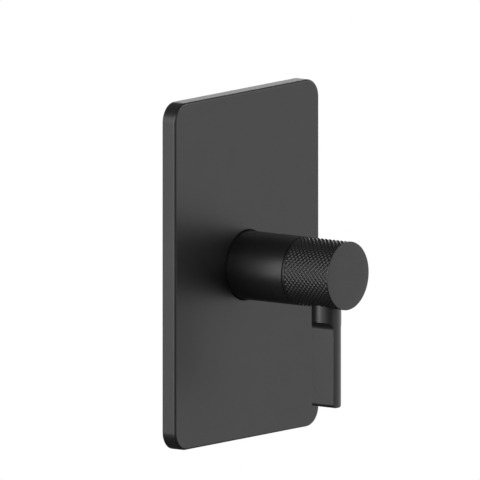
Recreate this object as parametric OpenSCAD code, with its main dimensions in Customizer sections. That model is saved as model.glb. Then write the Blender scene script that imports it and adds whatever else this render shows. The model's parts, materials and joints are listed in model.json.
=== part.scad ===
// Concealed mixer tap: a wall plate, a sleeve, a knurled knob with a pin lever,
// and the cartridge unit in the wall that the knob turns.
// Origin: on the cartridge axis, in the plane of the finished wall.
// +X is to the right, +Y into the wall, +Z up. All sizes are in millimetres.

/* [Cover plate] */
// Width of the cover plate
plate_w = 150; // [140:1:190]
// Height of the cover plate
plate_h = 220; // [200:1:260]
// Distance from the wall to the face of the plate
plate_t = 10; // [9:0.5:13]
// Radius of the corners, seen from the front
plate_corner_r = 12; // [9:0.5:18]
// Rounding of the edge between the face and the sides
plate_edge_r = 1.6; // [0.8:0.1:2.4]
// Thickness of the face
plate_face_t = 2.6; // [2:0.1:3]
// Width of the rim that bears on the wall
plate_rim_w = 5.5; // [5:0.25:7]
// Thickness of the stiffening ribs behind the face
rib_t = 2; // [1.5:0.25:3]
// Height of the stiffening ribs
rib_h = 2; // [1:0.25:2.5]
// Radius of the push-fit posts behind the face
post_r = 2.5; // [2:0.25:3]
// Distance of the posts from the axis, sideways
post_dx = 52; // [48:1:56]
// Distance of the posts from the axis, upwards
post_dz = 86; // [76:1:88]
// Width of the sealing cord in the rim
cord_w = 2.4; // [1.8:0.1:3]
// Depth of the groove for the sealing cord
cord_depth = 1.8; // [1.2:0.1:2.4]

/* [Carrier] */
// Thickness of the moulded carrier that is screwed to the wall
carrier_t = 2.5; // [2:0.25:3]
// Gap between the carrier and the rim of the cover plate
carrier_gap = 2; // [1:0.25:3]
// Thickness of the upstanding edge of the carrier
carrier_edge_t = 1.8; // [1.2:0.1:2.5]
// Radius of the rubber grommets
grommet_r = 5; // [4:0.25:6]
// Wall of the grommet cups
cup_wall = 1.6; // [1.2:0.1:2]
// Distance of the wall screws from the axis, sideways
wall_screw_dx = 40; // [36:1:42]
// Distance of the wall screws from the axis, upwards
wall_screw_dz = 62; // [50:1:68]
// Diameter of the wall screws
wall_screw_d = 3.5; // [3:0.5:4]
// Length of the wall screws under the head
wall_screw_l = 22; // [16:1:24]

/* [Sleeve] */
// Outer diameter of the sleeve and of the knob
sleeve_d = 43.4; // [43:0.1:46]
// Length of the sleeve in front of the plate
sleeve_l = 42.8; // [40:0.2:55]
// Wall of the sleeve
sleeve_wall = 2; // [1.9:0.05:2.3]
// Width of the collar behind the plate
collar_w = 1.8; // [1:0.1:3]
// Thickness of the collar
collar_t = 1.6; // [1:0.1:1.8]
// Thickness of the flat seal between collar and plate
collar_seal_t = 1.2; // [0.8:0.1:1.4]

/* [Knob] */
// Visible gap between sleeve and knob
knob_gap = 0.5; // [0.4:0.05:1]
// Length of the knob
knob_l = 35.9; // [32:0.1:42]
// Smooth rim at the back of the knob
rear_rim = 1.9; // [1:0.1:3]
// Smooth rim at the front of the knob
front_rim = 0.7; // [0.6:0.1:2]
// Bevel of the edge of the front face
knob_bevel = 0.35; // [0.2:0.05:0.5]
// Number of knurl diamonds around the knob
knurl_teeth = 41; // [36:1:52]
// Number of knurl diamonds along the knob
knurl_rows = 11; // [9:1:13]
// Depth of the knurl
knurl_depth = 0.6; // [0.3:0.05:0.9]
// Thickness of the knob behind its front face
knob_face_t = 4.8; // [3:0.1:6]
// Diameter of the hub that turns in the guide ring
hub_d = 24; // [22:0.5:28]
// Length of the hub
hub_l = 5.6; // [4:0.1:5.8]

/* [Lever] */
// Diameter of the lever's rod
lever_d = 18.7; // [16:0.1:20]
// Distance from the knob's front face back to the lever's axis
lever_setback = 17; // [13:0.1:20]
// Distance from the knob's axis to the end of the lever
lever_reach = 84.4; // [70:0.2:110]
// Thickness of the flattened part of the lever
flat_t = 7.8; // [6:0.2:10]
// Distance from the knob's axis to the start of the flats
flat_top = 35; // [30:0.5:42]
// Radius of the hollow in which the flats run out
run_out_r = 5; // [3:0.25:7]
// Rounding of the flats' lower ends
tip_r = 2.3; // [1:0.1:2.8]
// Rounding of the rod's lower edge
end_r = 0.8; // [0.4:0.1:1]
// Depth to which the rod sits in the knob
pocket_depth = 4.2; // [3:0.1:5]
// Diameter of the threaded stud and of the grub screw
stud_d = 6; // [5:0.5:6]
// Length of the stud inside the lever
stud_l = 10.5; // [8:0.5:14]
// Length of the grub screw
grub_l = 4.6; // [4:0.1:5]

/* [Cartridge] */
// Diameter of the cartridge
cartridge_d = 28; // [27:0.2:28.6]
// Distance from the sleeve's mouth back to the seat of the cartridge
seat_setback = 48.8; // [48:0.2:52]
// Wall of the cartridge housing
housing_wall = 1.9; // [1.5:0.1:2.1]
// Diameter of the cartridge neck
neck_d = 18; // [17.6:0.2:19]
// Thickness of each ceramic disc
disc_t = 4; // [3.4:0.1:4]
// Diameter of the stem
stem_d = 10; // [9.6:0.1:10.4]
// Outer diameter of the stem's splines
spline_d = 8.4; // [7.6:0.1:8.8]
// Number of spline teeth
spline_teeth = 20; // [16:1:24]
// Depth of the splines
spline_depth = 0.5; // [0.3:0.05:0.6]
// Angle through which the handle turns
turn_angle = 120; // [90:5:140]
// Outer diameter of the adapter between stem and knob
adapter_d = 16; // [14:0.2:17]
// Diameter of the screw that holds the adapter
adapter_screw_d = 4; // [3:0.5:4]

/* [Valve block] */
// Diameter of the block's base
block_d = 62; // [61:0.5:64]
// Distance from the wall's face to the back of the block
block_depth = 24; // [22:0.5:27]
// Radial gap between the sleeve and the tower that holds the cartridge
tower_gap = 0.4; // [0.3:0.05:0.7]
// Diameter of the circle of the fixing screws
screw_pcd = 50; // [49.5:0.1:51]
// Diameter of the fixing screws
fix_screw_d = 5; // [4:0.5:5]
// Free length of the fixing screws behind the block
fix_screw_free = 12; // [8:1:13]
// Distance of the rear ports from the axis
port_dist = 13.5; // [13:0.1:14]
// Diameter of the rear ports
port_d = 11; // [10:0.5:12]
// Distance of the cartridge's ports from the axis
inner_port_dist = 7.4; // [7:0.1:7.6]
// Diameter of the cartridge's ports
inner_port_d = 6.4; // [5.6:0.2:6.8]
// Section diameter of the port seals
port_seal_d = 1.9; // [1.6:0.1:2]

/* [Fits] */
// Radial clearance between parts that turn in each other
running_fit = 0.06; // [0.03:0.01:0.09]
// Clearance between parts that are pushed together
slip_fit = 0.05; // [0.02:0.01:0.1]
// Clearance where nothing may touch
free_gap = 0.2; // [0.15:0.05:0.3]

/* [Hidden] */
$fn = 96;
eps = 0.01;

// Distances out from the wall
sleeve_front = plate_t + sleeve_l;
knob_back = sleeve_front + knob_gap;
knob_front = knob_back + knob_l;
knurl_back = knob_back + rear_rim;
knurl_front = knob_front - front_rim;
lever_out = knob_front - lever_setback;
plate_inner = plate_t - plate_face_t;
seat = sleeve_front - seat_setback;

// Cover plate and carrier
plate_hole_r = sleeve_d / 2 + free_gap;
rib_end = plate_inner - rib_h;
hub_rib_r = sleeve_d / 2 + collar_w + free_gap;
carrier_edge_h = rib_end - 4 * free_gap;
carrier_inset = plate_rim_w + carrier_gap;
carrier_corner_r = max(1, plate_corner_r - carrier_inset);
block_front = carrier_t - 1;
post_end = 1;
grommet_lip = 0.6;
carrier_hole_r = block_d / 2 + 0.5;
carrier_rib_t = 1.6;
screw_boss_w = 1.5;
shank_step = 0.25;
wall_thread_start = -0.5;
wall_screw_head_r = wall_screw_d;
wall_screw_head_h = 1.6;
cross_l = 4;
cross_w = 0.8;
cross_depth = 1;

// Sleeve
sleeve_r = sleeve_d / 2;
sleeve_inner_r = sleeve_r - sleeve_wall;
collar_front = plate_inner - collar_seal_t;
collar_back = collar_front - collar_t;
mouth_r = sleeve_r - sleeve_wall / 2;
lip_l = 2;
lip_proud = knob_gap / 2;
guide_l = hub_l + 0.4;

// Knob and handle
knurl_peak_r = sleeve_r - 0.02;
knurl_root_r = knurl_peak_r - knurl_depth;
knurl_overlap = 0.15;
knurl_step = (knurl_front - knurl_back + 2 * knurl_overlap) / (2 * knurl_rows);
knurl_cols = 2 * knurl_teeth;
knob_core_r = knurl_root_r - 0.3;
knurl_inner_r = knob_core_r - 2.7;
adapter_r = adapter_d / 2;
adapter_front = knob_front - knob_face_t - free_gap;
adapter_groove_t = 0.75;
adapter_groove_w = stud_d + 0.6;
pocket_floor = sleeve_r - pocket_depth;
grub_tip = adapter_r - 0.7;
grub_end = grub_tip + grub_l;
stud_hold = 5.3;
stud_start = pocket_floor - stud_hold;
stud_end = pocket_floor + stud_l;

// Cartridge, counted from its seat
base_t = 5;
base_spigot = 1.5;
base_seal_w = 1.7;
base_seal_h = 1.7;
fixed_disc_back = seat + base_t + base_spigot;
fixed_disc_front = fixed_disc_back + disc_t;
moving_disc_back = fixed_disc_front + slip_fit;
moving_disc_front = moving_disc_back + disc_t;
driver_back = moving_disc_front;
driver_t = 3.3;
driver_front = driver_back + driver_t;
shoulder_t = 1.4;
shoulder_front = driver_front + shoulder_t;
washer_t = 0.6;
housing_roof = shoulder_front + washer_t + slip_fit;
roof_t = 6;
housing_front = housing_roof + roof_t;
neck_l = 14;
neck_front = housing_front + neck_l;
stop_t = 2.8;
spline_back = neck_front + 0.1;
stop_front = spline_back + stop_t;
stem_l = 18;
stem_front = neck_front + stem_l;
adapter_back = stop_front + 0.7;
adapter_web_back = stem_front + 0.4;
adapter_web_t = 3.6;
adapter_web_front = adapter_web_back + adapter_web_t;
cartridge_r = cartridge_d / 2;
chamber_r = cartridge_r - housing_wall;
bore_r = cartridge_r + slip_fit;
disc_r = chamber_r - free_gap;
neck_r = neck_d / 2;
stem_r = stem_d / 2;
shoulder_r = 8;
key_w = 8;
spline_r = spline_d / 2;
screw_hole_l = 12;
stem_groove_t = 1.1;
stem_groove_w = 1.5;
first_stem_ring = 3;
stem_ring_spacing = 5;
stem_ring_out = [for (i = [0, 1]) housing_front + first_stem_ring + i * stem_ring_spacing];
housing_groove_t = 1.2;
housing_groove_w = 1.6;
housing_ring_out = housing_roof + 2.7;

// Slots, recesses, keys and pegs of the two discs
slot_w = 4.2;
inlet_slot_half = 1;
outlet_half_angle = 24;
outlet_lobe = [20, 95];
cold_lobe_angle = 270;
cold_lobe_half = 1.6;
channel_angles = [57, cold_lobe_angle];
channel_w = 2.4;
key_angles = [30, 150];
key_r = 0.9;
key_notch_r = 1.2;
peg_angles = [0, 120, 240];
peg_dist = disc_r - 2;
peg_r = 1.5;
peg_l = 1.3;

// The lug of the stop ring begins here, counted from the right, seen from the front
stop_start = 255;
stop_lug_angle = 30;
stop_hub_r = neck_r - 2.4;
stop_play = 1;

// Valve block
tower_r = sleeve_inner_r - tower_gap;
nut_thread_l = 6;
tower_front = housing_front + nut_thread_l;
nut_thread_r = cartridge_r + 1.5;
nut_hex_r = 17.5;
nut_hex_h = 5;
inlet_angles = [210, 330];
outlet_angle = 90;
port_angles = concat(inlet_angles, [outlet_angle]);
// The rear ports end at different depths: hot, cold, outlet
rear_port_ends = [-4, -5, -6];
front_port_start = -11;
notch_w = 4;
notch_depth = 1.5;
screw_angles = [45, 135, 225, 315];
fix_head_d = 1.7 * fix_screw_d;
fix_head_r = fix_head_d / 2;
fix_head_h = fix_screw_d;
fix_head_back = block_front - fix_head_h - 0.2;
fix_thread_start = -block_depth - 0.5;
port_seal_r = port_d / 2 + port_seal_d / 2 + 0.45;
port_recess_r = port_seal_r + port_seal_d / 2 + slip_fit;
port_recess_h = port_seal_d + 0.1;
groove_t = 1.4;
groove_w = 2.2;
sleeve_ring_r = (tower_gap + groove_t) / 2 - 0.02;
sleeve_ring_mid = sleeve_inner_r - 0.02 - sleeve_ring_r;
first_ring_setback = 37;
ring_spacing = 11;
sleeve_ring_out = [for (i = [0, 1]) sleeve_front - first_ring_setback + i * ring_spacing];

// Turns a shape so that its z runs out of the wall and its y runs up
module outward() {
    rotate([90, 0, 0]) children();
}

// Places a shape so that its z runs down along the lever, from the knob's axis,
// and its y runs out of the wall
module down_lever() {
    outward() translate([0, 0, lever_out]) rotate([90, 0, 0]) children();
}

module post(r, from, to) {
    translate([0, 0, from]) cylinder(r = r, h = to - from);
}

module tube(outer, inner, from, to) {
    difference() {
        post(outer, from, to);
        post(inner, from - 1, to + 1);
    }
}

// A ring of round section
module o_ring(mid_r, section_r, z) {
    translate([0, 0, z]) rotate_extrude() translate([mid_r, 0]) circle(r = section_r, $fn = 32);
}

module at_corners(dx, dy) {
    for (sx = [-1, 1], sy = [-1, 1]) translate([sx * dx, sy * dy, 0]) children();
}

module on_circle(dist, angles) {
    for (a = angles) rotate(a) translate([dist, 0, 0]) children();
}

// A rectangle with round corners, made of exact arcs
module round_rect(w, h, r) {
    square([w - 2 * r, h], center = true);
    square([w, h - 2 * r], center = true);
    for (sx = [-1, 1], sy = [-1, 1])
        translate([sx * (w / 2 - r), sy * (h / 2 - r)]) circle(r = r);
}

module round_frame(w, h, r, band) {
    difference() {
        round_rect(w, h, r);
        round_rect(w - 2 * band, h - 2 * band, max(0.5, r - band));
    }
}

module hex_socket(across, depth) {
    cylinder(d = across / cos(30), h = depth, $fn = 6);
}

// Section through the edge of the plate, from x = 0 outwards, with a rounded front corner
module edge_section(w, t, r) {
    square([w, t - r]);
    square([w - r, t]);
    translate([w - r, t - r]) circle(r = r, $fn = 64);
}

// The plate as a solid: a slab, four straight edges and four round corners
module plate_body() {
    w = plate_w / 2 - plate_corner_r;
    h = plate_h / 2 - plate_corner_r;
    translate([-w, -h, 0]) cube([2 * w, 2 * h, plate_t]);
    for (side = [0, 180]) {
        rotate(side) translate([w, h, 0]) rotate([90, 0, 0])
            linear_extrude(2 * h) edge_section(plate_corner_r, plate_t, plate_edge_r);
        rotate(side + 90) translate([h, w, 0]) rotate([90, 0, 0])
            linear_extrude(2 * w) edge_section(plate_corner_r, plate_t, plate_edge_r);
    }
    for (corner = [[1, 1, 0], [-1, 1, 90], [-1, -1, 180], [1, -1, 270]])
        translate([corner[0] * w, corner[1] * h, 0]) rotate(corner[2])
            rotate_extrude(angle = 90) edge_section(plate_corner_r, plate_t, plate_edge_r);
}

module plate_ribs() {
    inner_w = plate_w - 2 * plate_rim_w;
    inner_h = plate_h - 2 * plate_rim_w;
    difference() {
        union() {
            post(hub_rib_r + rib_t, rib_end, plate_inner + eps);
            for (x = [-1, 0, 1]) translate([x * inner_w / 4 - rib_t / 2, -inner_h / 2 - eps, rib_end])
                cube([rib_t, inner_h + 2 * eps, rib_h + eps]);
            for (y = [-1, 0, 1]) translate([-inner_w / 2 - eps, y * inner_h / 5 - rib_t / 2, rib_end])
                cube([inner_w + 2 * eps, rib_t, rib_h + eps]);
        }
        post(hub_rib_r, rib_end - 1, plate_inner + 1);
    }
}

module cover_plate() {
    color([0.13, 0.13, 0.13]) outward() difference() {
        union() {
            difference() {
                plate_body();
                translate([0, 0, -1]) linear_extrude(plate_inner + 1)
                    round_rect(plate_w - 2 * plate_rim_w, plate_h - 2 * plate_rim_w,
                        plate_corner_r - plate_rim_w);
            }
            plate_ribs();
            at_corners(post_dx, post_dz) post(post_r, post_end, plate_inner + eps);
        }
        post(plate_hole_r, -1, plate_t + 1);
        translate([0, 0, -1]) linear_extrude(cord_depth + 1) cord_path(cord_w);
    }
}

// The sealing cord's loop in the middle of the rim
module cord_path(w) {
    inset = (plate_rim_w - w) / 2;
    round_frame(plate_w - 2 * inset, plate_h - 2 * inset, plate_corner_r - inset, w);
}

module sealing_cord() {
    color([0.2, 0.2, 0.2]) outward()
        linear_extrude(cord_depth - slip_fit) cord_path(cord_w - 2 * slip_fit);
}

module carrier() {
    w = plate_w - 2 * carrier_inset;
    h = plate_h - 2 * carrier_inset;
    color([0.75, 0.75, 0.72]) outward() difference() {
        union() {
            linear_extrude(carrier_t) round_rect(w, h, carrier_corner_r);
            linear_extrude(carrier_edge_h) round_frame(w, h, carrier_corner_r, carrier_edge_t);
            post(carrier_hole_r + carrier_edge_t, 0, carrier_edge_h);
            at_corners(post_dx, post_dz) post(grommet_r + cup_wall, 0, carrier_edge_h);
            at_corners(wall_screw_dx, wall_screw_dz)
                post(wall_screw_head_r + screw_boss_w, 0, carrier_t + 0.5);
            for (x = [-1, 1])
                translate([x * wall_screw_dx - carrier_rib_t / 2, -wall_screw_dz, 0])
                    cube([carrier_rib_t, 2 * wall_screw_dz, carrier_edge_h - 0.6]);
        }
        post(carrier_hole_r, -1, carrier_edge_h + 1);
        at_corners(post_dx, post_dz) post(grommet_r, -1, carrier_edge_h + 1);
        at_corners(wall_screw_dx, wall_screw_dz) {
            post(wall_screw_d / 2 + free_gap, -1, carrier_edge_h + 1);
            post(wall_screw_head_r + free_gap, carrier_t, carrier_edge_h + 1);
        }
    }
}

module wall_screws() {
    color([0.7, 0.7, 0.72]) outward() at_corners(wall_screw_dx, wall_screw_dz) difference() {
        union() {
            post(wall_screw_d / 2, carrier_t - wall_screw_l, wall_thread_start);
            post(wall_screw_d / 2 - shank_step, wall_thread_start - eps, carrier_t + eps);
            post(wall_screw_head_r, carrier_t, carrier_t + wall_screw_head_h);
        }
        translate([0, 0, carrier_t + wall_screw_head_h - cross_depth]) for (a = [0, 90]) rotate(a)
            translate([-cross_l / 2, -cross_w / 2, 0]) cube([cross_l, cross_w, cross_depth + 1]);
    }
}

module grommets() {
    color([0.1, 0.1, 0.1]) outward() at_corners(post_dx, post_dz) {
        tube(grommet_r - slip_fit, post_r + slip_fit, post_end, carrier_edge_h + grommet_lip);
        tube(grommet_r + cup_wall, post_r + slip_fit, carrier_edge_h + 0.02, carrier_edge_h + grommet_lip);
    }
}

// The sleeve is turned: a tube with a collar at the back and a step in its mouth
module sleeve() {
    color([0.13, 0.13, 0.13]) outward() rotate_extrude() difference() {
        union() {
            translate([0, collar_back]) square([sleeve_r, sleeve_front - collar_back]);
            translate([0, collar_back]) square([sleeve_r + collar_w, collar_t]);
        }
        translate([0, collar_back - 1]) square([sleeve_inner_r, sleeve_front - collar_back + 2]);
        translate([0, sleeve_front - lip_l]) square([mouth_r, lip_l + 1]);
    }
}

module collar_seal() {
    color([0.08, 0.08, 0.08]) outward()
        tube(sleeve_r + collar_w, plate_hole_r, collar_front + 0.02, plate_inner - 0.02);
}

module sleeve_o_rings() {
    color([0.08, 0.08, 0.08]) outward()
        for (z = sleeve_ring_out) o_ring(sleeve_ring_mid, sleeve_ring_r, z);
}

// The knob's hub turns in this ring, which also closes the gap behind the knob
module guide_ring() {
    color([0.16, 0.16, 0.16]) outward() difference() {
        union() {
            post(sleeve_inner_r - slip_fit, sleeve_front - guide_l, sleeve_front - lip_l + eps);
            post(mouth_r - slip_fit, sleeve_front - lip_l, sleeve_front + lip_proud);
        }
        post(hub_d / 2 + running_fit, sleeve_front - guide_l - 1, sleeve_front + 1);
    }
}

module valve_block() {
    color([0.78, 0.62, 0.3]) outward() difference() {
        union() {
            post(block_d / 2, -block_depth, block_front);
            post(tower_r, block_front - 1, tower_front);
        }
        post(bore_r, seat, tower_front + 1);
        post(nut_thread_r + slip_fit, housing_front + 0.1, tower_front + 1);
        for (z = sleeve_ring_out)
            tube(tower_r + 1, tower_r - groove_t, z - groove_w / 2, z + groove_w / 2);
        on_circle(inner_port_dist, port_angles) post(inner_port_d / 2, front_port_start, seat + 1);
        for (i = [0:2]) on_circle(port_dist, [port_angles[i]]) {
            post(port_d / 2, -block_depth - 1, rear_port_ends[i]);
            post(port_recess_r, -block_depth - 1, -block_depth + port_recess_h);
        }
        on_circle(screw_pcd / 2, screw_angles) {
            post(fix_screw_d / 2 + free_gap, -block_depth - 1, block_front + 1);
            post(fix_head_r + free_gap, fix_head_back, block_front + 1);
        }
        // Index notch in the upper edge of the base
        translate([-notch_w / 2, block_d / 2 - notch_depth, -block_depth - 1])
            cube([notch_w, 2 * notch_depth, block_depth + block_front + 2]);
    }
}

module fixing_screws() {
    color([0.7, 0.7, 0.72]) outward() on_circle(screw_pcd / 2, screw_angles) difference() {
        union() {
            post(fix_screw_d / 2, -block_depth - fix_screw_free, fix_thread_start);
            post(fix_screw_d / 2 - shank_step, fix_thread_start - eps, fix_head_back + eps);
            post(fix_head_r, fix_head_back, fix_head_back + fix_head_h);
        }
        translate([0, 0, fix_head_back + fix_head_h / 2]) hex_socket(0.8 * fix_screw_d, fix_head_h);
    }
}

module port_seals() {
    color([0.08, 0.08, 0.08]) outward() on_circle(port_dist, port_angles)
        o_ring(port_seal_r, port_seal_d / 2, port_recess_h - port_seal_d / 2 - 0.02 - block_depth);
}

// The plastic foot of the cartridge, with one port to each passage
module cartridge_base() {
    color([0.85, 0.85, 0.8]) outward() difference() {
        union() {
            post(cartridge_r - 0.1, seat + 0.05, seat + base_t);
            post(chamber_r - slip_fit, seat + base_t - eps, fixed_disc_back);
        }
        on_circle(inner_port_dist, port_angles) {
            post(inner_port_d / 2, seat - 1, fixed_disc_back + 1);
            post(inner_port_d / 2 + base_seal_w, seat - 1, seat + base_seal_h);
        }
    }
}

module base_seals() {
    color([0.08, 0.08, 0.08]) outward() on_circle(inner_port_dist, port_angles)
        tube(inner_port_d / 2 + base_seal_w - 0.1, inner_port_d / 2,
            seat + 0.02, seat + base_seal_h - 0.02);
}

// A slot with round ends that follows a circle from one angle to another
module arc_slot(from_angle, to_angle, from, to) {
    rotate(from_angle) rotate_extrude(angle = to_angle - from_angle)
        translate([inner_port_dist - slot_w / 2, from]) square([slot_w, to - from]);
    on_circle(inner_port_dist, [from_angle, to_angle]) post(slot_w / 2, from, to);
}

// A short straight slot with round ends
module straight_slot(half_l, from, to) {
    translate([-slot_w / 2, -half_l, from]) cube([slot_w, 2 * half_l, to - from]);
    for (y = [-1, 1]) translate([0, y * half_l, 0]) post(slot_w / 2, from, to);
}

module fixed_disc() {
    back = fixed_disc_back + 0.02;
    from = back - 1;
    to = fixed_disc_front + 1;
    color([0.93, 0.92, 0.88]) outward() difference() {
        post(disc_r, back, fixed_disc_front);
        on_circle(inner_port_dist, inlet_angles) straight_slot(inlet_slot_half, from, to);
        arc_slot(outlet_angle - outlet_half_angle, outlet_angle + outlet_half_angle, from, to);
        on_circle(disc_r, key_angles) post(key_notch_r, from, to);
    }
}

// Shell of the cartridge: the disc chamber, the neck, and the stop rim at its end
module cartridge_housing() {
    open_angle = turn_angle + stop_lug_angle + 2 * stop_play;
    color([0.82, 0.8, 0.7]) outward() difference() {
        union() {
            post(cartridge_r - 0.1, seat + base_t + 0.02, housing_front);
            post(neck_r, housing_front - eps, neck_front);
            translate([0, 0, neck_front - eps]) linear_extrude(stop_t + eps) difference() {
                circle(r = neck_r);
                circle(r = stop_hub_r + free_gap);
                rotate(stop_start - stop_play)
                    polygon([
                        [0, 0],
                        for (i = [0:6]) let(a = open_angle * i / 6) 2 * neck_r * [cos(a), sin(a)]
                    ]);
            }
        }
        // The chamber leaves two keys in its wall that hold the fixed disc
        difference() {
            post(chamber_r, seat + base_t - 1, housing_roof);
            on_circle(disc_r, key_angles) post(key_r, fixed_disc_back + 0.05, fixed_disc_front - 0.3);
        }
        post(stem_r + running_fit, seat, neck_front + stop_t + 1);
        tube(cartridge_r + 1, cartridge_r - housing_groove_t,
            housing_ring_out - housing_groove_w / 2, housing_ring_out + housing_groove_w / 2);
    }
}

module housing_o_ring() {
    section_r = (housing_groove_t + slip_fit) / 2 - 0.02;
    color([0.08, 0.08, 0.08]) outward()
        o_ring(bore_r - 0.02 - section_r, section_r, housing_ring_out);
}

module retaining_nut() {
    color([0.8, 0.66, 0.36]) outward() difference() {
        union() {
            post(nut_thread_r, housing_front + 0.12, tower_front + eps);
            translate([0, 0, tower_front]) cylinder(r = nut_hex_r, h = nut_hex_h, $fn = 6);
        }
        post(neck_r + free_gap, housing_front - 1, tower_front + nut_hex_h + 1);
    }
}

// The recess of the moving disc: one lobe stays on the outlet and reaches the hot port last,
// the other reaches the cold port first, and a channel across the middle joins them
module mixing_recess(from, to) {
    arc_slot(outlet_lobe[0], outlet_lobe[1], from, to);
    on_circle(inner_port_dist, [cold_lobe_angle]) straight_slot(cold_lobe_half, from, to);
    post(channel_w, from, to);
    for (a = channel_angles) rotate(a) translate([0, -channel_w / 2, from])
        cube([inner_port_dist, channel_w, to - from]);
}

module moving_disc() {
    color([0.96, 0.95, 0.9]) outward() difference() {
        post(disc_r - 0.2, moving_disc_back, moving_disc_front);
        mixing_recess(moving_disc_back - 1, moving_disc_back + disc_t / 2);
        on_circle(peg_dist, peg_angles)
            post(peg_r + 0.1, moving_disc_front - peg_l - 0.1, moving_disc_front + 1);
    }
}

module disc_driver() {
    color([0.25, 0.3, 0.4]) outward() difference() {
        union() {
            post(disc_r - 0.2, driver_back + 0.02, driver_front);
            on_circle(peg_dist, peg_angles) post(peg_r, driver_back - peg_l, driver_back + 0.1);
        }
        translate([-key_w / 2 - slip_fit, -key_w / 2 - slip_fit, driver_back + 0.5])
            cube([key_w + 2 * slip_fit, key_w + 2 * slip_fit, driver_t + 1]);
    }
}

// Outline of a splined shaft, grown by a clearance
module spline_outline(grow) {
    polygon([
        for (i = [0:2 * spline_teeth - 1])
            let(r = spline_r + grow - (i % 2) * spline_depth, a = i * 180 / spline_teeth)
            r * [cos(a), sin(a)]
    ]);
}

module stem() {
    color([0.8, 0.68, 0.4]) outward() difference() {
        union() {
            translate([-key_w / 2, -key_w / 2, driver_back + 0.6]) cube([key_w, key_w, driver_t]);
            post(shoulder_r, driver_front + 0.02, shoulder_front);
            post(stem_r, shoulder_front - eps, spline_back);
            translate([0, 0, spline_back - eps]) linear_extrude(stem_front - spline_back + eps)
                spline_outline(0);
        }
        for (z = stem_ring_out)
            tube(stem_r + 1, stem_r - stem_groove_t, z - stem_groove_w / 2, z + stem_groove_w / 2);
        post(adapter_screw_d / 2 + 0.02, stem_front - screw_hole_l, stem_front + 1);
    }
}

module stem_o_rings() {
    section_r = (stem_groove_t + running_fit) / 2 - 0.02;
    color([0.08, 0.08, 0.08]) outward() for (z = stem_ring_out)
        o_ring(stem_r - stem_groove_t + 0.01 + section_r, section_r, z);
}

module glide_washer() {
    color([0.95, 0.95, 0.95]) outward()
        tube(shoulder_r, stem_r + slip_fit, shoulder_front + 0.02, shoulder_front + washer_t);
}

// Its lug runs in the opening of the housing's stop rim and ends the turn
module stop_ring() {
    color([0.7, 0.15, 0.12]) outward() translate([0, 0, spline_back]) linear_extrude(stop_t - 0.1)
        difference() {
            union() {
                circle(r = stop_hub_r);
                intersection() {
                    circle(r = neck_r - 0.1);
                    rotate(stop_start) polygon([
                        [0, 0],
                        2 * neck_r * [1, 0],
                        2 * neck_r * [cos(stop_lug_angle), sin(stop_lug_angle)]
                    ]);
                }
            }
            spline_outline(slip_fit);
        }
}

module adapter() {
    color([0.8, 0.68, 0.4]) outward() difference() {
        post(adapter_r, adapter_back, adapter_front);
        translate([0, 0, adapter_back - 1]) linear_extrude(adapter_web_back - adapter_back + 1)
            spline_outline(slip_fit);
        post(adapter_screw_d / 2 + free_gap, adapter_web_back - 1, adapter_web_front + 1);
        post(adapter_screw_d, adapter_web_front, adapter_front + 1);
        tube(adapter_r + 1, adapter_r - adapter_groove_t,
            lever_out - adapter_groove_w / 2, lever_out + adapter_groove_w / 2);
    }
}

module adapter_screw() {
    head_r = 0.87 * adapter_screw_d;
    head_front = adapter_web_front + adapter_screw_d;
    color([0.7, 0.7, 0.72]) outward() difference() {
        union() {
            post(adapter_screw_d / 2, stem_front - screw_hole_l + 2, adapter_web_front + eps);
            post(head_r, adapter_web_front + 0.01, head_front);
        }
        translate([0, 0, head_front - adapter_screw_d / 2])
            hex_socket(0.75 * adapter_screw_d, adapter_screw_d);
    }
}

// The knurled skin is a grid of half steps around and along the knob, on which every
// second point is a peak and the rest are the crossings of the grooves.
// It runs a little into the smooth rims, and its inner wall lies inside the core.
function knurl_r(i, j) = (i + j) % 2 == 0 ? knurl_peak_r : knurl_root_r;
function knurl_z(j) = knurl_back - knurl_overlap + j * knurl_step;
function knurl_point(i, j, r) =
    let(a = i * 360 / knurl_cols) [r * cos(a), r * sin(a), knurl_z(j)];
function next_col(i) = (i + 1) % knurl_cols;

module knurl_skin() {
    last = 2 * knurl_rows;
    low = (last + 1) * knurl_cols;
    high = low + knurl_cols;
    top = last * knurl_cols;
    outer = [
        for (j = [0:last], i = [0:knurl_cols - 1]) knurl_point(i, j, knurl_r(i, j))
    ];
    inner = [
        for (j = [0, last], i = [0:knurl_cols - 1]) knurl_point(i, j, knurl_inner_r)
    ];
    // Each grid cell is folded along the line between its two groove points
    skin = [
        for (j = [0:last - 1], i = [0:knurl_cols - 1])
            let(
                a = j * knurl_cols + i,
                b = j * knurl_cols + next_col(i),
                c = b + knurl_cols,
                d = a + knurl_cols
            )
            each (i + j) % 2 == 0 ? [[a, d, b], [b, d, c]] : [[a, c, b], [a, d, c]]
    ];
    ends = [
        for (i = [0:knurl_cols - 1])
            let(n = next_col(i))
            each [
                [i, n, low + i],
                [n, low + n, low + i],
                [top + i, high + i, top + n],
                [top + n, high + i, high + n],
                [low + i, low + n, high + i],
                [low + n, high + n, high + i]
            ]
    ];
    polyhedron(points = concat(outer, inner), faces = concat(skin, ends), convexity = 10);
}

module knob() {
    color([0.15, 0.15, 0.15]) difference() {
        outward() difference() {
            union() {
                post(knob_core_r, knob_back, knob_front - knob_bevel - eps);
                post(sleeve_r, knob_back, knurl_back);
                post(sleeve_r, knurl_front, knob_front - knob_bevel);
                translate([0, 0, knob_front - knob_bevel])
                    cylinder(r1 = sleeve_r, r2 = sleeve_r - knob_bevel, h = knob_bevel);
                knurl_skin();
                post(hub_d / 2, knob_back - hub_l, knob_back + eps);
            }
            post(adapter_r + slip_fit, knob_back - hub_l - 1, adapter_front + free_gap);
        }
        down_lever() {
            post(lever_d / 2 + slip_fit, pocket_floor, sleeve_r + 2);
            post(stud_d / 2 + 0.02, 0, sleeve_r);
        }
    }
}

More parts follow.
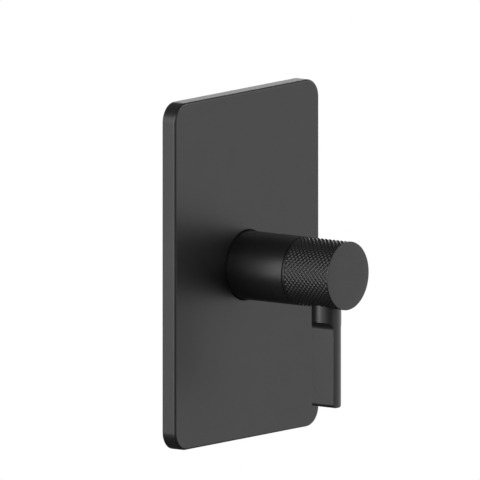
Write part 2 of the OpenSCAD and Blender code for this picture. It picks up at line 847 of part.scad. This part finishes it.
module grub_screw() {
    color([0.3, 0.3, 0.32]) down_lever() difference() {
        post(stud_d / 2, grub_tip, grub_end);
        translate([0, 0, grub_end - 2]) hex_socket(stud_d / 2, 3);
    }
}

module lever_stud() {
    color([0.7, 0.7, 0.72]) down_lever() difference() {
        post(stud_d / 2, stud_start, stud_end);
        translate([0, 0, stud_start - 1]) hex_socket(stud_d / 2, 3);
    }
}

// Cuts one flat, from the side: it starts in a hollow and is rounded off at the lever's end
module flat_cutter() {
    flat_x = flat_t / 2;
    rotate([90, 0, 0]) linear_extrude(2 * lever_d, center = true) {
        translate([flat_x + run_out_r, flat_top]) circle(r = run_out_r);
        translate([flat_x + run_out_r, flat_top - run_out_r]) square([lever_d, lever_reach]);
        translate([flat_x, flat_top]) square([lever_d, lever_reach]);
        translate([flat_x - tip_r, lever_reach - tip_r]) difference() {
            square(tip_r + 1);
            circle(r = tip_r, $fn = 64);
        }
    }
}

module lever() {
    r = lever_d / 2;
    color([0.14, 0.14, 0.14]) down_lever() difference() {
        rotate_extrude() {
            translate([0, pocket_floor + 0.02]) square([r, lever_reach - end_r - pocket_floor - 0.02]);
            translate([0, lever_reach - end_r - eps]) square([r - end_r, end_r + eps]);
            translate([r - end_r, lever_reach - end_r]) circle(r = end_r, $fn = 64);
        }
        for (side = [0, 180]) rotate(side) flat_cutter();
        post(stud_d / 2 + 0.02, 0, stud_end + 1);
    }
}

cover_plate();
sealing_cord();
carrier();
wall_screws();
grommets();
sleeve();
collar_seal();
sleeve_o_rings();
guide_ring();
valve_block();
fixing_screws();
port_seals();
cartridge_base();
base_seals();
fixed_disc();
cartridge_housing();
housing_o_ring();
retaining_nut();
moving_disc();
disc_driver();
stem();
stem_o_rings();
glide_washer();
stop_ring();
adapter();
adapter_screw();
knob();
grub_screw();
lever_stud();
lever();
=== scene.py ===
"""Looks of the concealed mixer tap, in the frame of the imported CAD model.

Metres. +X is to the right, +Y into the wall, +Z up, and the cartridge axis is the Y axis.
"""

import json
import math

import bmesh
import bpy
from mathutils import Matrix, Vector


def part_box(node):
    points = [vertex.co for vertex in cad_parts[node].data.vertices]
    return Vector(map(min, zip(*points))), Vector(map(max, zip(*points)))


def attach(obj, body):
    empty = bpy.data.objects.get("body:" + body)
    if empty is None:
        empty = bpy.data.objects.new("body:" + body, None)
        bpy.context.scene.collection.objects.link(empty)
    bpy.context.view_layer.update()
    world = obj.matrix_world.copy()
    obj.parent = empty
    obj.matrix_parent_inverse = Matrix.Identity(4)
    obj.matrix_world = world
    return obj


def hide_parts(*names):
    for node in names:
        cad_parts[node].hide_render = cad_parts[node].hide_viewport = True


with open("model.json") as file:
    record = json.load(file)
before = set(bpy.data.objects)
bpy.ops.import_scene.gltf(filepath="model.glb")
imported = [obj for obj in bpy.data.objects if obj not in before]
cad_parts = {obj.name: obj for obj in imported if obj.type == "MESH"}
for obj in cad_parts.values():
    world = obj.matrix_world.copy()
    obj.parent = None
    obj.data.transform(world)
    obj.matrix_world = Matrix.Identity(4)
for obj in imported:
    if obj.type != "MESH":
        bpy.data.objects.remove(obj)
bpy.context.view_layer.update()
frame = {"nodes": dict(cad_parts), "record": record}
MM = 0.001

# Camera of the photograph: a parallel view, its direction and its scale
AZIMUTH = math.radians(-52.96)
ELEVATION = math.radians(8.46)
FRAME_PX = 480
METRES_PER_PX = 0.627 * MM
CAMERA_DISTANCE = 1.5
# Where the axis meets the plate's face in the photograph
AXIS_PX = Vector((247.3, 264.8))

# Places taken from the frame
PLATE_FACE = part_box("cover_plate")[0].y
SLEEVE_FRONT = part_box("sleeve")[0].y
LIP_LOW, LIP_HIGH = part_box("guide_ring")
KNOB_LOW, KNOB_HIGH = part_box("knob")
ADAPTER_LOW, ADAPTER_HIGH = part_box("adapter")

# Knob: a knurled band between two smooth rims, and the hub that turns in the guide ring
KNOB_R = KNOB_HIGH.x
KNOB_FRONT = KNOB_LOW.y
KNOB_GAP = 0.5 * MM
KNOB_BACK = SLEEVE_FRONT - KNOB_GAP
# A low skirt on the knob's back reaches round the guide ring's lip, so no light shows between:
# its gap round the lip, which it also overlaps by as much, and its wall
SKIRT_GAP = 0.1 * MM
SKIRT_WALL = 0.4 * MM
HUB_R = 12 * MM
FRONT_RIM = 0.7 * MM
REAR_RIM = 1.9 * MM
BAND_FRONT = KNOB_FRONT + FRONT_RIM
BAND_BACK = KNOB_BACK - REAR_RIM
# Mesh ring inside the flat face, as a share of the knob's radius
FACE_RING = 0.55
# Profiles of the rounded edges: how far in from the rim and away from the end, in bevels
FACE_BEVEL = 0.35 * MM
FACE_EDGE = ((1.4, 0), (0.7, 0.06), (0.3, 0.3), (0.06, 0.7), (0, 1.4))
RIM_BEVEL = 0.1 * MM
REAR_EDGE = ((0, 2), (0.4, 0.4), (2, 0))

# Knurl: diamonds round and along, and how far they lie under the rims at top and bottom
KNURL_TEETH = 41
KNURL_ROWS = 11
KNURL_TOP = 0.02 * MM
KNURL_DEPTH = 0.5 * MM
# Mesh steps per diamond, and the part of a flank that is worn flat on ridges and in grooves
KNURL_STEPS = 8
KNURL_LAND = 0.17

# Rounded copies of CAD nodes: how their meshes are cleaned before their edges are rounded
WELD_DISTANCE = 0.001 * MM
SAME_PLANE = math.radians(0.6)
EDGE_SEGMENTS = 4
# Lever: its edges sharper than this angle are rounded by this much
LEVER_EDGE_ANGLE = math.radians(35)
LEVER_EDGE = 0.35 * MM
# Plate: how far the front edge of its hole is rounded, which leaves a dark line round the sleeve
HOLE_EDGE = 1.0 * MM
# The hole's edge lies in the plate's face, just outside the sleeve, which is as wide as the knob
FACE_TOLERANCE = 0.01 * MM
HOLE_LIMIT = KNOB_R + 1 * MM

# Edges sharper than this many degrees are shaded sharp
KNOB_SHARP = 28
COPY_SHARP = 30

# The range that most of a noise lies in, and the numbers of the Mix node's colour sockets
NOISE_LOW, NOISE_HIGH = 0.3, 0.7
MIX_A, MIX_B, MIX_RESULT = 6, 7, 2
WHITE = (1, 1, 1, 1)

# Studio: the floor, and the even light of the room
FLOOR_Z = -0.45
FLOOR_HALF = 1.2
FLOOR_COLOUR = (0.86, 0.86, 0.86, 1)
FLOOR_ROUGHNESS = 0.9
FLOOR_GLOW = 0.65
WORLD_COLOUR = (0.9, 0.9, 0.9, 1)
WORLD_LIGHT = 0.4
# Corners of a rectangle, in halves of its sides
CORNERS = ((-1, -1), (1, -1), (1, 1), (-1, 1))
# What the lamps face
LAMP_TARGET = Vector((0, -0.05, 0))
# Name, azimuth, elevation, distance, size, radiance
LAMPS = [
    ("key", -54, 32, 2.0, (1.0, 1.0), 3.6),
    ("front", -5, 4, 2.2, (1.8, 1.8), 0.38),
    ("rim", 40, 9, 2.2, (1.2, 0.6), 1.1),
    ("fill", -155, 16, 1.8, (1.2, 1.2), 2.0),
    ("back", 160, 8, 2.0, (1.1, 1.8), 3.7),
]
# Dark cards that only reflections see: name, centre, half of each side, brightness
CARDS = [
    ("card_left", (-1.5, -2.13, 0), (1.3, -0.93, 0), (0, 0, 2.6), 0.2),
    ("card_low", (-0.33, 0, -0.44), (0.87, 0, 0), (0, 1.2, 0), 0.06),
    ("card_top", (0, -0.05, 1.6), (2.7, 0, 0), (0, 2.7, 0), 0.18),
    ("card_back", (-1.01, 1.56, 0), (-0.49, -0.31, 0), (0, 0, 1.0), 0.2),
]


def link_object(name, data):
    """An object made from data, in the scene."""
    made = bpy.data.objects.new(name, data)
    bpy.context.scene.collection.objects.link(made)
    return made


def make_camera():
    """The photograph's camera, placed so that the axis meets the plate where the photo shows it."""
    right = Vector((math.cos(AZIMUTH), math.sin(AZIMUTH), 0))
    back = direction(AZIMUTH - math.pi / 2, ELEVATION)
    up = back.cross(right)
    offset = (AXIS_PX - Vector((FRAME_PX, FRAME_PX)) / 2) * METRES_PER_PX
    centre = Vector((0, PLATE_FACE, 0)) - right * offset.x + up * offset.y
    data = bpy.data.cameras.new("photo_camera")
    data.type = "ORTHO"
    data.ortho_scale = FRAME_PX * METRES_PER_PX
    camera = link_object("photo_camera", data)
    camera.location = centre + back * CAMERA_DISTANCE
    camera.rotation_mode = "QUATERNION"
    camera.rotation_quaternion = (-back).to_track_quat("-Z", "Y")
    bpy.context.scene.camera = camera


def add_node(tree, kind, **values):
    """A new node with some of its properties set."""
    made = tree.nodes.new(kind)
    for key, value in values.items():
        setattr(made, key, value)
    return made


def math_node(tree, operation, first, second):
    """A Math node's result; each side is a socket or a number."""
    made = add_node(tree, "ShaderNodeMath", operation=operation)
    for socket, value in zip(made.inputs, (first, second)):
        if isinstance(value, (int, float)):
            socket.default_value = value
        else:
            tree.links.new(value, socket)
    return made.outputs[0]


class Finish:
    """A procedural material, with short ways to make what these finishes share."""

    def __init__(self, name):
        self.data = bpy.data.materials.new(name)
        self.data.use_nodes = True
        self.tree = self.data.node_tree
        self.shader = self.tree.nodes["Principled BSDF"]

    def link(self, source, target):
        self.tree.links.new(source, target)

    def place(self):
        """Object coordinates."""
        return add_node(self.tree, "ShaderNodeTexCoord").outputs["Object"]

    def noise(self, size, detail, roughness=0.5, at=None):
        """Noise whose lumps are about size metres wide, in object space unless a point is given."""
        made = add_node(self.tree, "ShaderNodeTexNoise")
        made.inputs["Scale"].default_value = 1 / size
        made.inputs["Detail"].default_value = detail
        made.inputs["Roughness"].default_value = roughness
        self.link(self.place() if at is None else at, made.inputs["Vector"])
        return made.outputs["Fac"]

    def turning_marks(self, pitch):
        """Fine ridges round the Y axis, on flat faces and along cylinders alike."""
        split = add_node(self.tree, "ShaderNodeSeparateXYZ")
        self.link(self.place(), split.inputs[0])
        flat = add_node(self.tree, "ShaderNodeCombineXYZ")
        self.link(split.outputs["X"], flat.inputs["X"])
        self.link(split.outputs["Z"], flat.inputs["Y"])
        radius = add_node(self.tree, "ShaderNodeVectorMath", operation="LENGTH")
        self.link(flat.outputs[0], radius.inputs[0])
        along = split.outputs["Y"]
        point = add_node(self.tree, "ShaderNodeCombineXYZ")
        self.link(math_node(self.tree, "ADD", radius.outputs["Value"], along), point.inputs["X"])
        return self.noise(pitch, detail=2, at=point.outputs[0])

    def spread(self, noise, low, high):
        """Maps a noise to values from low to high."""
        made = add_node(self.tree, "ShaderNodeMapRange")
        ends = {"From Min": NOISE_LOW, "From Max": NOISE_HIGH, "To Min": low, "To Max": high}
        for key, value in ends.items():
            made.inputs[key].default_value = value
        self.link(noise, made.inputs["Value"])
        return made.outputs["Result"]

    def colour(self, noise, first, second):
        """Lets the base colour vary between two colours."""
        made = add_node(self.tree, "ShaderNodeMix", data_type="RGBA")
        self.link(self.spread(noise, 0, 1), made.inputs["Factor"])
        made.inputs[MIX_A].default_value = (*first, 1)
        made.inputs[MIX_B].default_value = (*second, 1)
        self.link(made.outputs[MIX_RESULT], self.shader.inputs["Base Color"])

    def roughness(self, noise, low, high):
        """Lets the roughness vary between two values."""
        self.link(self.spread(noise, low, high), self.shader.inputs["Roughness"])

    def relief(self, height, depth, strength):
        """Gives the surface a fine bump."""
        made = add_node(self.tree, "ShaderNodeBump")
        made.inputs["Distance"].default_value = depth
        made.inputs["Strength"].default_value = strength
        self.link(height, made.inputs["Height"])
        self.link(made.outputs["Normal"], self.shader.inputs["Normal"])


def shade(colour, share):
    """A darker tone of a colour."""
    return tuple(share * c for c in colour)


def satin_black():
    """Near-black coating: a dark body under a broad soft shine with a very fine grain."""
    finish = Finish("satin_black")
    patches = finish.noise(14 * MM, detail=2)
    grain = finish.noise(0.35 * MM, detail=3)
    finish.colour(patches, (0.0056, 0.0056, 0.0057), (0.0074, 0.0074, 0.0075))
    finish.roughness(grain, 0.34, 0.42)
    finish.relief(grain, 0.006 * MM, 0.6)
    finish.shader.inputs["IOR"].default_value = 1.5
    return finish.data


def moulded(name, colour, roughness):
    """Moulded plastic with slightly uneven colour and a fine eroded grain."""
    finish = Finish(name)
    patches = finish.noise(9 * MM, detail=3)
    grain = finish.noise(0.5 * MM, detail=4, roughness=0.6)
    finish.colour(patches, shade(colour, 0.86), colour)
    finish.roughness(grain, roughness - 0.06, roughness + 0.08)
    finish.relief(grain, 0.01 * MM, 0.7)
    return finish.data


def turned_metal(name, colour, roughness):
    """Machined metal with turning marks round the axis and faint stains, which shine less."""
    finish = Finish(name)
    stains = finish.noise(6 * MM, detail=4, roughness=0.6)
    finish.shader.inputs["Metallic"].default_value = 1
    finish.colour(stains, shade(colour, 0.78), colour)
    finish.roughness(stains, roughness + 0.08, roughness - 0.05)
    finish.relief(finish.turning_marks(0.16 * MM), 0.004 * MM, 0.8)
    return finish.data


def rubber():
    """Matt black rubber with a little dust."""
    finish = Finish("rubber")
    dust = finish.noise(3 * MM, detail=5, roughness=0.65)
    finish.colour(dust, (0.012, 0.012, 0.012), (0.026, 0.026, 0.025))
    finish.roughness(dust, 0.6, 0.8)
    finish.relief(finish.noise(0.3 * MM, detail=3), 0.01 * MM, 0.6)
    return finish.data


def ceramic():
    """Lapped ceramic with faint speckles."""
    finish = Finish("ceramic")
    speckles = finish.noise(0.8 * MM, detail=4)
    finish.colour(speckles, (0.78, 0.76, 0.7), (0.86, 0.85, 0.8))
    finish.roughness(speckles, 0.12, 0.22)
    return finish.data


def make_materials():
    """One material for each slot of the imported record."""
    return {
        "satin_black": satin_black(),
        "black_plastic": moulded("black_plastic", (0.022, 0.022, 0.022), 0.42),
        "grey_plastic": moulded("grey_plastic", (0.35, 0.35, 0.34), 0.5),
        "cartridge_plastic": moulded("cartridge_plastic", (0.72, 0.7, 0.6), 0.42),
        "white_plastic": moulded("white_plastic", (0.85, 0.85, 0.84), 0.45),
        "red_plastic": moulded("red_plastic", (0.55, 0.06, 0.04), 0.4),
        "rubber": rubber(),
        "brass": turned_metal("brass", (0.72, 0.52, 0.22), 0.3),
        "steel": turned_metal("steel", (0.6, 0.6, 0.6), 0.28),
        "ceramic": ceramic(),
    }


def finish_nodes(materials):
    """Gives every CAD node the material of its slot in the record."""
    for row in frame["record"]["subparts"]:
        data = frame["nodes"][row["node"]].data
        data.materials.clear()
        data.materials.append(materials[row["material_slot"]])


def mesh_object(name, bm, material, sharp_angle):
    """A shaded object from a bmesh, with edges sharper than the angle kept sharp."""
    bmesh.ops.recalc_face_normals(bm, faces=bm.faces)
    data = bpy.data.meshes.new(name)
    bm.to_mesh(data)
    bm.free()
    data.materials.append(material)
    data.shade_smooth()
    data.set_sharp_from_angle(angle=math.radians(sharp_angle))
    return link_object(name, data)


def groove(phase):
    """Depth of one family of grooves, from 0 on its worn ridge to 1 in its filled bottom."""
    flank = abs(phase - math.floor(phase) - 0.5) * 2
    return min(1.0, max(0.0, (flank - KNURL_LAND) / (1 - 2 * KNURL_LAND)))


def knurl_radius(turn, row):
    """Radius of the knurled band, from two crossing families of grooves."""
    depth = max(groove(turn + row), groove(turn - row))
    return KNOB_R - KNURL_TOP - KNURL_DEPTH * depth


def knurl_row(y):
    """Number of knurl rows from the front of the band to a distance out."""
    return KNURL_ROWS * (y - BAND_FRONT) / (BAND_BACK - BAND_FRONT)


def knob_profile():
    """Rings of the knob from its face to its hub: distance out, and radius or None for knurl."""
    rings = [(KNOB_FRONT, 0.0), (KNOB_FRONT, FACE_RING * KNOB_R)]
    rings += [
        (KNOB_FRONT + away * FACE_BEVEL, KNOB_R - inward * FACE_BEVEL)
        for inward, away in FACE_EDGE
    ]
    rings += [(BAND_FRONT - RIM_BEVEL, KNOB_R), (BAND_FRONT, KNOB_R - RIM_BEVEL)]
    steps = KNURL_ROWS * KNURL_STEPS
    rings += [(BAND_FRONT + (BAND_BACK - BAND_FRONT) * i / steps, None) for i in range(steps + 1)]
    rings += [(BAND_BACK, KNOB_R - RIM_BEVEL), (BAND_BACK + RIM_BEVEL, KNOB_R)]
    rings += [
        (KNOB_BACK - away * RIM_BEVEL, KNOB_R - inward * RIM_BEVEL)
        for inward, away in REAR_EDGE
    ]
    skirt_r, skirt_end = LIP_HIGH.x + SKIRT_GAP, LIP_LOW.y + SKIRT_GAP
    rings += [
        (KNOB_BACK, skirt_r + SKIRT_WALL),
        (skirt_end, skirt_r + SKIRT_WALL),
        (skirt_end, skirt_r),
        (KNOB_BACK, skirt_r),
        (KNOB_BACK, HUB_R),
        (KNOB_HIGH.y, HUB_R),
        (KNOB_HIGH.y, ADAPTER_HIGH.x),
        (ADAPTER_LOW.y, ADAPTER_HIGH.x),
        (ADAPTER_LOW.y, 0.0),
    ]
    return rings


def folded_cell(corners, turn, row):
    """Two triangles of a knurl cell, folded along the groove family that is deeper there."""
    a, b, c, d = corners
    if groove(turn + row) > groove(turn - row):
        return (a, b, d), (b, c, d)
    return (a, b, c), (a, c, d)


def make_knob(material):
    """The knob as one turned body, its knurl cut by two families of helical grooves."""
    bm = bmesh.new()
    columns = KNURL_TEETH * KNURL_STEPS
    rings = []
    for y, radius in knob_profile():
        if radius == 0.0:
            rings.append((y, radius, [bm.verts.new((0, y, 0))]))
            continue
        ring = []
        for i in range(columns):
            angle = 2 * math.pi * i / columns
            r = knurl_radius(i / KNURL_STEPS, knurl_row(y)) if radius is None else radius
            ring.append(bm.verts.new((r * math.cos(angle), y, r * math.sin(angle))))
        rings.append((y, radius, ring))
    for (y1, radius1, first), (y2, radius2, second) in zip(rings, rings[1:]):
        middle_row = knurl_row((y1 + y2) / 2)
        for i in range(columns):
            j = (i + 1) % columns
            corners = [
                first[i % len(first)], first[j % len(first)],
                second[j % len(second)], second[i % len(second)],
            ]
            if radius1 is None and radius2 is None:
                for triangle in folded_cell(corners, (i + 0.5) / KNURL_STEPS, middle_row):
                    bm.faces.new(triangle)
            else:
                bm.faces.new(dict.fromkeys(corners))
    knob = mesh_object("knurled_knob", bm, material, KNOB_SHARP)
    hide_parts("knob")
    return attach(knob, "handle")


def rounded_copy(name, node, body, edge, wanted, material):
    """A CAD node's own outline with some edges rounded: wanted says which edges."""
    bm = bmesh.new()
    bm.from_mesh(frame["nodes"][node].data)
    bmesh.ops.remove_doubles(bm, verts=bm.verts, dist=WELD_DISTANCE)
    bmesh.ops.dissolve_limit(bm, angle_limit=SAME_PLANE, verts=bm.verts, edges=bm.edges)
    edges = [e for e in bm.edges if len(e.link_faces) == 2 and wanted(e)]
    bmesh.ops.bevel(
        bm, geom=edges, offset=edge, offset_type="OFFSET", segments=EDGE_SEGMENTS, profile=0.5,
        affect="EDGES", clamp_overlap=True,
    )
    made = mesh_object(name, bm, material, COPY_SHARP)
    made.modifiers.new("flat_faces_stay_flat", "WEIGHTED_NORMAL").keep_sharp = True
    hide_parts(node)
    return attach(made, body)


def make_lever(material):
    """The lever with its sharp edges broken."""
    def sharp(edge):
        return edge.calc_face_angle() > LEVER_EDGE_ANGLE

    return rounded_copy("pin_lever", "lever", "handle", LEVER_EDGE, sharp, material)


def make_plate(material):
    """The cover plate with the front edge of its hole rounded."""
    def on_hole(edge):
        return all(
            abs(end.co.y - PLATE_FACE) < FACE_TOLERANCE
            and math.hypot(end.co.x, end.co.z) < HOLE_LIMIT
            for end in edge.verts
        )

    return rounded_copy("wall_plate", "cover_plate", "fixed_unit", HOLE_EDGE, on_hole, material)


def stage_plane(name, corners, material):
    """A four-cornered surface of the stage."""
    data = bpy.data.meshes.new(name)
    data.from_pydata(corners, [], [(0, 1, 2, 3)])
    data.materials.append(material)
    made = link_object(name, data)
    return made


def seen_as_white(tree):
    """1 for the rays that see the white background: those of the camera, of gloss and of glass."""
    rays = add_node(tree, "ShaderNodeLightPath").outputs
    either = math_node(tree, "MAXIMUM", rays["Is Camera Ray"], rays["Is Glossy Ray"])
    return math_node(tree, "MAXIMUM", either, rays["Is Transmission Ray"])


def make_floor():
    """A pale floor well below the tap, white apart from the tap's shadow."""
    finish = Finish("pale_floor")
    finish.shader.inputs["Base Color"].default_value = FLOOR_COLOUR
    finish.shader.inputs["Roughness"].default_value = FLOOR_ROUGHNESS
    finish.shader.inputs["Emission Color"].default_value = WHITE
    glow = math_node(finish.tree, "MULTIPLY", seen_as_white(finish.tree), FLOOR_GLOW)
    finish.link(glow, finish.shader.inputs["Emission Strength"])
    corners = [(x * FLOOR_HALF, y * FLOOR_HALF, FLOOR_Z) for x, y in CORNERS]
    stage_plane("floor", corners, finish.data)


def make_world():
    """Even light, with a white background for the camera, gloss and glass."""
    world = bpy.data.worlds.new("studio")
    world.use_nodes = True
    tree = world.node_tree
    light = tree.nodes["Background"]
    light.inputs["Color"].default_value = WORLD_COLOUR
    light.inputs["Strength"].default_value = WORLD_LIGHT
    white = add_node(tree, "ShaderNodeBackground")
    white.inputs["Color"].default_value = WHITE
    white.inputs["Strength"].default_value = 1
    both = add_node(tree, "ShaderNodeMixShader")
    tree.links.new(seen_as_white(tree), both.inputs[0])
    tree.links.new(light.outputs[0], both.inputs[1])
    tree.links.new(white.outputs[0], both.inputs[2])
    tree.links.new(both.outputs[0], tree.nodes["World Output"].inputs["Surface"])
    bpy.context.scene.world = world


def direction(azimuth, elevation):
    """Unit vector, from radians; the azimuth is counted from +X towards the wall."""
    level = math.cos(elevation)
    return Vector((math.cos(azimuth) * level, math.sin(azimuth) * level, math.sin(elevation)))


def soft_box(name, azimuth, elevation, distance, size, radiance):
    """A rectangular lamp that faces the tap, given by its place around it and its brightness."""
    data = bpy.data.lights.new(name, "AREA")
    data.shape = "RECTANGLE"
    data.size, data.size_y = size
    data.energy = radiance * math.pi * size[0] * size[1]
    light = link_object(name, data)
    towards = direction(math.radians(azimuth), math.radians(elevation))
    light.location = LAMP_TARGET + towards * distance
    light.rotation_mode = "QUATERNION"
    light.rotation_quaternion = (LAMP_TARGET - light.location).to_track_quat("-Z", "Y")


def dark_card(name, centre, across, along, brightness):
    """A card that darkens reflections on one side, as black flags do in a photo studio."""
    material = bpy.data.materials.new(name)
    material.use_nodes = True
    tree = material.node_tree
    glow = add_node(tree, "ShaderNodeEmission")
    glow.inputs["Color"].default_value = WHITE
    glow.inputs["Strength"].default_value = brightness
    tree.links.new(glow.outputs[0], tree.nodes["Material Output"].inputs["Surface"])
    centre, across, along = Vector(centre), Vector(across), Vector(along)
    card = stage_plane(name, [centre + a * across + b * along for a, b in CORNERS], material)
    card.visible_camera = card.visible_diffuse = card.visible_shadow = False


def make_lights():
    """The lamps, and the cards that stand for the dark sides of the studio."""
    for lamp in LAMPS:
        soft_box(*lamp)
    for card in CARDS:
        dark_card(*card)


make_camera()
materials = make_materials()
finish_nodes(materials)
make_knob(materials["satin_black"])
make_lever(materials["satin_black"])
make_plate(materials["satin_black"])
make_floor()
make_world()
make_lights()
bpy.context.scene.view_settings.view_transform = "Standard"
